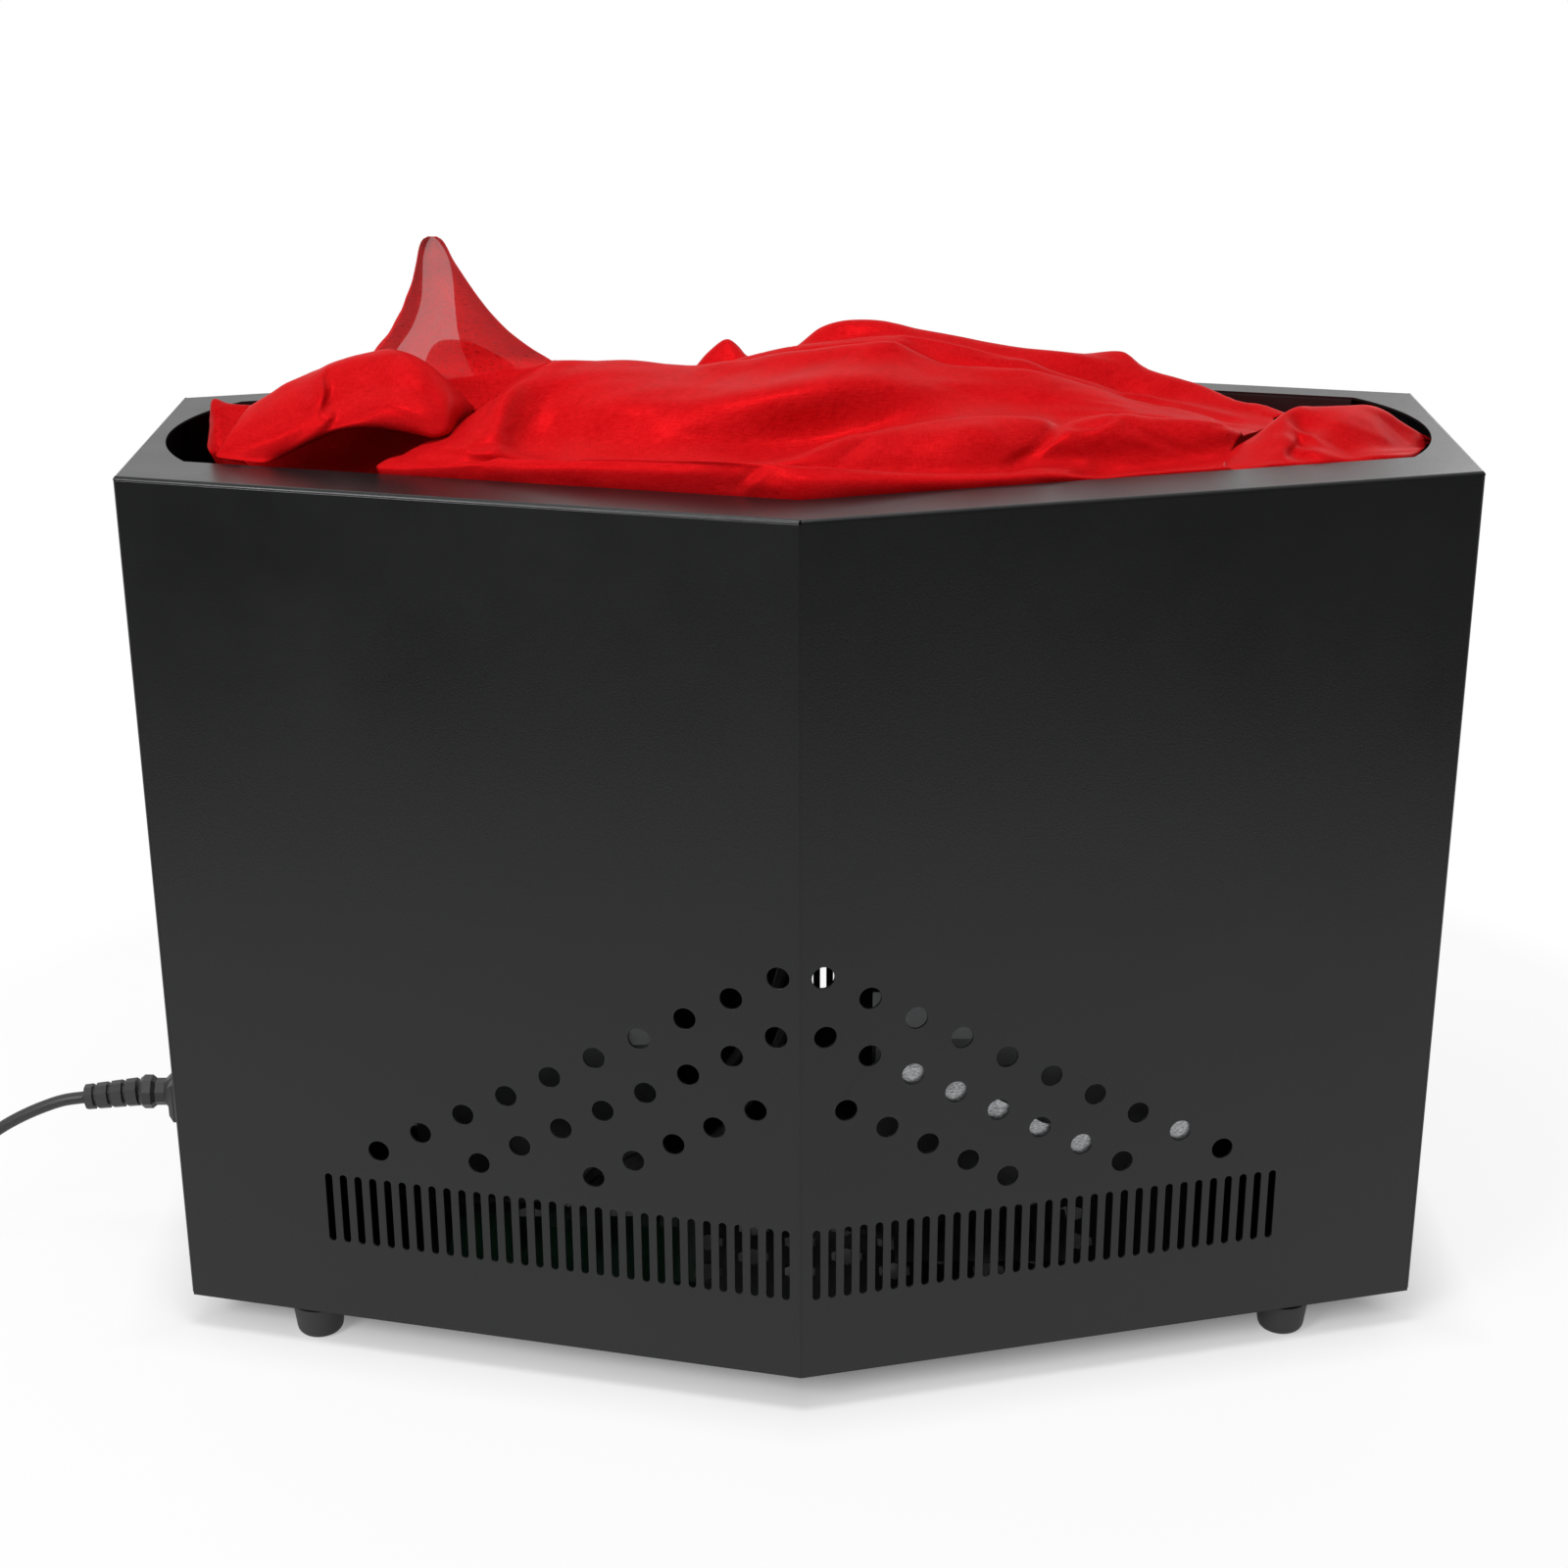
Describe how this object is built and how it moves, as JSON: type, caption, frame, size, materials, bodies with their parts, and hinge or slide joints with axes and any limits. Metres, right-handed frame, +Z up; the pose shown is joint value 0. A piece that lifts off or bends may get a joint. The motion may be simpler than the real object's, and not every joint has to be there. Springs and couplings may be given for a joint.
{
  "type": "silk flame effect light",
  "caption": "Six-sided floor-standing steel housing with fans and light bars under a wide mouth, over which red silk billows as a flame; mains lead at one end.",
  "frame": {"origin": "on the floor under the middle of the housing", "axes": "+X along the housing towards its right end, +Y towards its rear, +Z up"},
  "size_m": [0.8546, 0.3164, 0.5063],
  "materials": {
    "powder_coat": "satin black powder coat",
    "rubber": "matt moulded rubber",
    "zinc_plate": "bright zinc plate",
    "galvanised": "galvanised sheet",
    "supply_case": "plain sheet",
    "black_plastic": "moulded, fine grain",
    "fan_blade_plastic": "moulded",
    "switch_plastic": "moulded",
    "bare_aluminium": "extruded",
    "led_board": "white solder mask",
    "clear_lens": "clear",
    "circuit_board": "green solder mask",
    "red_silk": "thin satin silk",
    "cord_sheath": "smooth sheath"
  },
  "bodies": {
    "housing": {"front_left_panel": "powder_coat", "front_right_panel": "powder_coat", "rear_left_panel": "powder_coat", "rear_right_panel": "powder_coat", "left_end_panel": "powder_coat", "right_end_panel": "powder_coat", "top_frame": "powder_coat", "base_plate": "powder_coat", "foot_front_left": "rubber", "foot_front_right": "rubber", "foot_rear_left": "rubber", "foot_rear_right": "rubber", "foot_screw_front_left": "zinc_plate", "foot_screw_front_right": "zinc_plate", "foot_screw_rear_left": "zinc_plate", "foot_screw_rear_right": "zinc_plate", "fan_deck": "galvanised", "fan_guard": "galvanised", "power_supply": "supply_case", "led_driver": "supply_case", "fan_frame_1": "black_plastic", "fan_frame_2": "black_plastic", "fan_frame_3": "black_plastic", "fan_frame_4": "black_plastic", "terminal_block": "black_plastic", "power_inlet": "black_plastic", "switch_housing": "black_plastic", "fuse_holder": "black_plastic", "lead_connector": "black_plastic", "lead_strain_relief": "black_plastic", "coil_tie": "black_plastic", "mains_plug": "black_plastic", "silk_rail_left": "bare_aluminium", "silk_rail_right": "bare_aluminium", "silk_clamp_left": "bare_aluminium", "silk_clamp_right": "bare_aluminium", "led_heat_sink_left": "bare_aluminium", "led_heat_sink_right": "bare_aluminium", "led_board_left": "led_board", "led_board_right": "led_board", "led_lens_left": "clear_lens", "led_lens_right": "clear_lens", "control_board": "circuit_board", "silk_sheet": "red_silk", "power_cord": "cord_sheath", "cord_coil": "cord_sheath", "cord_tail": "cord_sheath", "mains_wiring": "cord_sheath", "fan_wiring": "cord_sheath", "led_wiring_left": "cord_sheath", "led_wiring_right": "cord_sheath"},
    "fan_rotor_1": {"fan_rotor_1": "fan_blade_plastic"},
    "fan_rotor_2": {"fan_rotor_2": "fan_blade_plastic"},
    "fan_rotor_3": {"fan_rotor_3": "fan_blade_plastic"},
    "fan_rotor_4": {"fan_rotor_4": "fan_blade_plastic"},
    "switch_rocker": {"switch_rocker": "switch_plastic"},
    "fuse_cap": {"fuse_cap": "switch_plastic"}
  },
  "joints": [
    {"name": "fan_spin_1", "type": "hinge", "parent": "housing", "child": "fan_rotor_1", "pos_m": [-0.186, 0, 0.254], "axis": [0, 0, 1], "continuous": true},
    {"name": "fan_spin_2", "type": "hinge", "parent": "housing", "child": "fan_rotor_2", "pos_m": [-0.062, 0, 0.254], "axis": [0, 0, 1], "continuous": true},
    {"name": "fan_spin_3", "type": "hinge", "parent": "housing", "child": "fan_rotor_3", "pos_m": [0.062, 0, 0.254], "axis": [0, 0, 1], "continuous": true},
    {"name": "fan_spin_4", "type": "hinge", "parent": "housing", "child": "fan_rotor_4", "pos_m": [0.186, 0, 0.254], "axis": [0, 0, 1], "continuous": true},
    {"name": "switch_tilt", "type": "hinge", "parent": "housing", "child": "switch_rocker", "pos_m": [-0.2888, -0.046, 0.09], "axis": [0, 1, 0], "range_deg": [0, 16]},
    {"name": "fuse_cap_turn", "type": "hinge", "parent": "housing", "child": "fuse_cap", "pos_m": [-0.29, 0.046, 0.09], "axis": [-1, 0, 0], "range_deg": [0, 60]}
  ]
}
